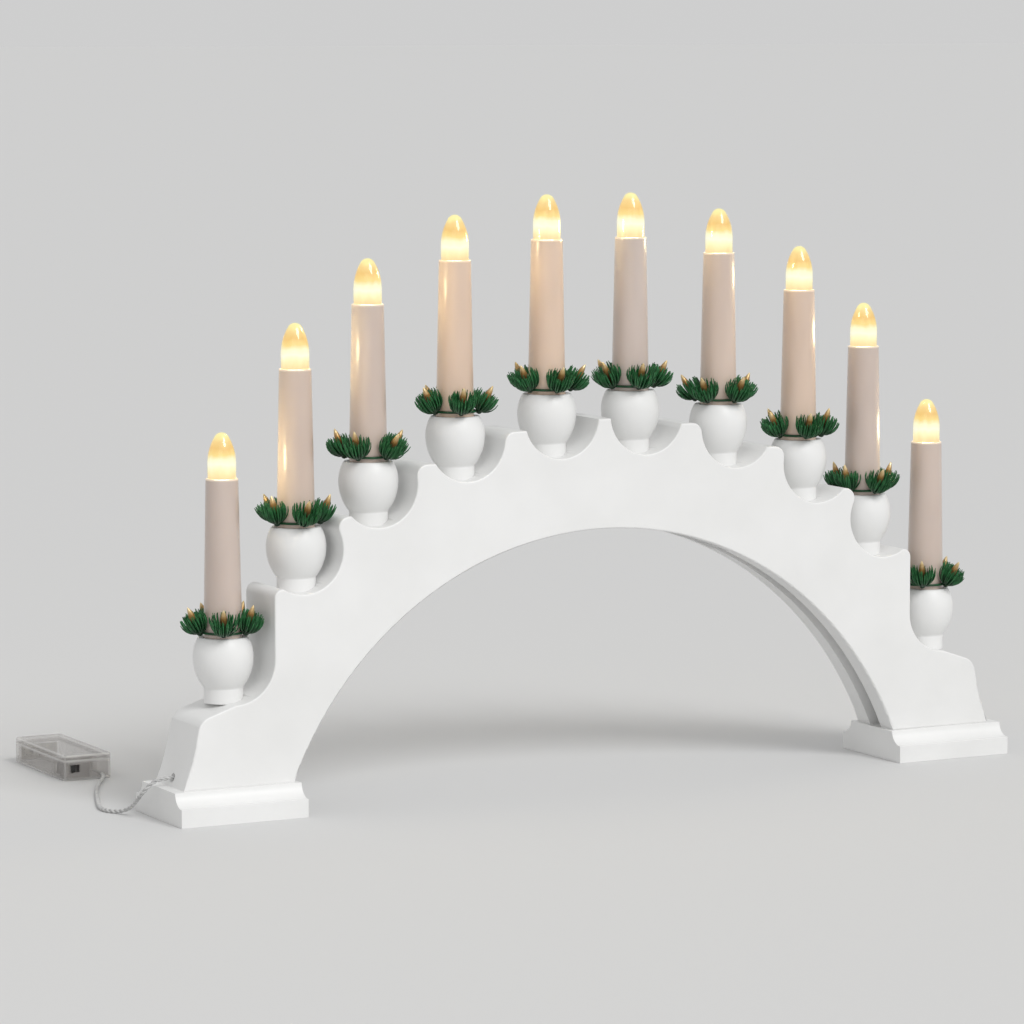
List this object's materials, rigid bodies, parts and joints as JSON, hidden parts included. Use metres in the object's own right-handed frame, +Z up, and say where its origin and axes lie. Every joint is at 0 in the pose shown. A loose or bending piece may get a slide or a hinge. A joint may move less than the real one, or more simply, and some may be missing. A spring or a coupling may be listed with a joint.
{
  "type": "candle arch",
  "caption": "White scalloped wooden arch on moulded plinths with turned cups, electric candles, bullet lamps, needle wreaths and a battery case on a thin lead.",
  "frame": {"origin": "middle of the arch's footprint on the table, under the crown", "axes": "+X along the arch towards the end without the lead, +Y to the back, +Z up"},
  "size_m": [0.5069, 0.2262, 0.3092],
  "materials": {
    "white_lacquer": "satin white lacquer",
    "candle_cream": "cream plastic, slightly translucent",
    "needle_green": "deep green needles with bronze buds",
    "lamp_glass": "clear glass lit warm from inside",
    "holder_plastic": "moulded white plastic",
    "wire_grey": "light grey insulation",
    "case_clear": "smoky clear plastic",
    "switch_black": "black plastic",
    "steel": "nickel-plated steel"
  },
  "bodies": {
    "arch": {"arch_board": "white_lacquer", "left_plinth": "white_lacquer", "right_plinth": "white_lacquer", "plinth_screws": "steel", "candle_cup_1": "white_lacquer", "candle_cup_2": "white_lacquer", "candle_cup_3": "white_lacquer", "candle_cup_4": "white_lacquer", "candle_cup_5": "white_lacquer", "candle_cup_6": "white_lacquer", "candle_cup_7": "white_lacquer", "candle_cup_8": "white_lacquer", "candle_cup_9": "white_lacquer", "candle_cup_10": "white_lacquer", "candle_sleeve_1": "candle_cream", "candle_sleeve_2": "candle_cream", "candle_sleeve_3": "candle_cream", "candle_sleeve_4": "candle_cream", "candle_sleeve_5": "candle_cream", "candle_sleeve_6": "candle_cream", "candle_sleeve_7": "candle_cream", "candle_sleeve_8": "candle_cream", "candle_sleeve_9": "candle_cream", "candle_sleeve_10": "candle_cream", "lamp_holders": "holder_plastic", "wiring_loom": "wire_grey", "power_cord": "wire_grey", "battery_case": "case_clear", "switch_body": "switch_black", "contact_plates": "steel", "contact_springs": "steel", "case_leads": "wire_grey"},
    "wreath_1": {"wreath_1": "needle_green"},
    "wreath_2": {"wreath_2": "needle_green"},
    "wreath_3": {"wreath_3": "needle_green"},
    "wreath_4": {"wreath_4": "needle_green"},
    "wreath_5": {"wreath_5": "needle_green"},
    "wreath_6": {"wreath_6": "needle_green"},
    "wreath_7": {"wreath_7": "needle_green"},
    "wreath_8": {"wreath_8": "needle_green"},
    "wreath_9": {"wreath_9": "needle_green"},
    "wreath_10": {"wreath_10": "needle_green"},
    "lamp_1": {"lamp_1": "lamp_glass"},
    "lamp_2": {"lamp_2": "lamp_glass"},
    "lamp_3": {"lamp_3": "lamp_glass"},
    "lamp_4": {"lamp_4": "lamp_glass"},
    "lamp_5": {"lamp_5": "lamp_glass"},
    "lamp_6": {"lamp_6": "lamp_glass"},
    "lamp_7": {"lamp_7": "lamp_glass"},
    "lamp_8": {"lamp_8": "lamp_glass"},
    "lamp_9": {"lamp_9": "lamp_glass"},
    "lamp_10": {"lamp_10": "lamp_glass"},
    "battery_cover": {"battery_cover": "case_clear"},
    "switch_slider": {"switch_slider": "switch_black"}
  },
  "joints": [
    {"name": "wreath_1_lift", "type": "slide", "parent": "arch", "child": "wreath_1", "axis": [0, 0, 1], "range_m": [0, 0.11]},
    {"name": "wreath_2_lift", "type": "slide", "parent": "arch", "child": "wreath_2", "axis": [0, 0, 1], "range_m": [0, 0.11]},
    {"name": "wreath_3_lift", "type": "slide", "parent": "arch", "child": "wreath_3", "axis": [0, 0, 1], "range_m": [0, 0.11]},
    {"name": "wreath_4_lift", "type": "slide", "parent": "arch", "child": "wreath_4", "axis": [0, 0, 1], "range_m": [0, 0.11]},
    {"name": "wreath_5_lift", "type": "slide", "parent": "arch", "child": "wreath_5", "axis": [0, 0, 1], "range_m": [0, 0.11]},
    {"name": "wreath_6_lift", "type": "slide", "parent": "arch", "child": "wreath_6", "axis": [0, 0, 1], "range_m": [0, 0.11]},
    {"name": "wreath_7_lift", "type": "slide", "parent": "arch", "child": "wreath_7", "axis": [0, 0, 1], "range_m": [0, 0.11]},
    {"name": "wreath_8_lift", "type": "slide", "parent": "arch", "child": "wreath_8", "axis": [0, 0, 1], "range_m": [0, 0.11]},
    {"name": "wreath_9_lift", "type": "slide", "parent": "arch", "child": "wreath_9", "axis": [0, 0, 1], "range_m": [0, 0.11]},
    {"name": "wreath_10_lift", "type": "slide", "parent": "arch", "child": "wreath_10", "axis": [0, 0, 1], "range_m": [0, 0.11]},
    {"name": "lamp_1_screw", "type": "hinge", "parent": "arch", "child": "lamp_1", "pos_m": [-0.20911, 0, 0.1705], "axis": [0, 0, 1], "range_deg": [0, 1080]},
    {"name": "lamp_2_screw", "type": "hinge", "parent": "arch", "child": "lamp_2", "pos_m": [-0.16839, 0, 0.22411], "axis": [0, 0, 1], "range_deg": [0, 1080]},
    {"name": "lamp_3_screw", "type": "hinge", "parent": "arch", "child": "lamp_3", "pos_m": [-0.12769, 0, 0.25559], "axis": [0, 0, 1], "range_deg": [0, 1080]},
    {"name": "lamp_4_screw", "type": "hinge", "parent": "arch", "child": "lamp_4", "pos_m": [-0.07811, 0, 0.2766], "axis": [0, 0, 1], "range_deg": [0, 1080]},
    {"name": "lamp_5_screw", "type": "hinge", "parent": "arch", "child": "lamp_5", "pos_m": [-0.02479, 0, 0.286], "axis": [0, 0, 1], "range_deg": [0, 1080]},
    {"name": "lamp_6_screw", "type": "hinge", "parent": "arch", "child": "lamp_6", "pos_m": [0.02479, 0, 0.286], "axis": [0, 0, 1], "range_deg": [0, 1080]},
    {"name": "lamp_7_screw", "type": "hinge", "parent": "arch", "child": "lamp_7", "pos_m": [0.07811, 0, 0.2766], "axis": [0, 0, 1], "range_deg": [0, 1080]},
    {"name": "lamp_8_screw", "type": "hinge", "parent": "arch", "child": "lamp_8", "pos_m": [0.12769, 0, 0.25559], "axis": [0, 0, 1], "range_deg": [0, 1080]},
    {"name": "lamp_9_screw", "type": "hinge", "parent": "arch", "child": "lamp_9", "pos_m": [0.16839, 0, 0.22411], "axis": [0, 0, 1], "range_deg": [0, 1080]},
    {"name": "lamp_10_screw", "type": "hinge", "parent": "arch", "child": "lamp_10", "pos_m": [0.20911, 0, 0.1705], "axis": [0, 0, 1], "range_deg": [0, 1080]},
    {"name": "battery_cover_lift", "type": "slide", "parent": "arch", "child": "battery_cover", "axis": [0, 0, 1], "range_m": [0, 0.03]},
    {"name": "switch_slide", "type": "slide", "parent": "arch", "child": "switch_slider", "axis": [1, 0, 0], "range_m": [0, 0.0023]}
  ]
}
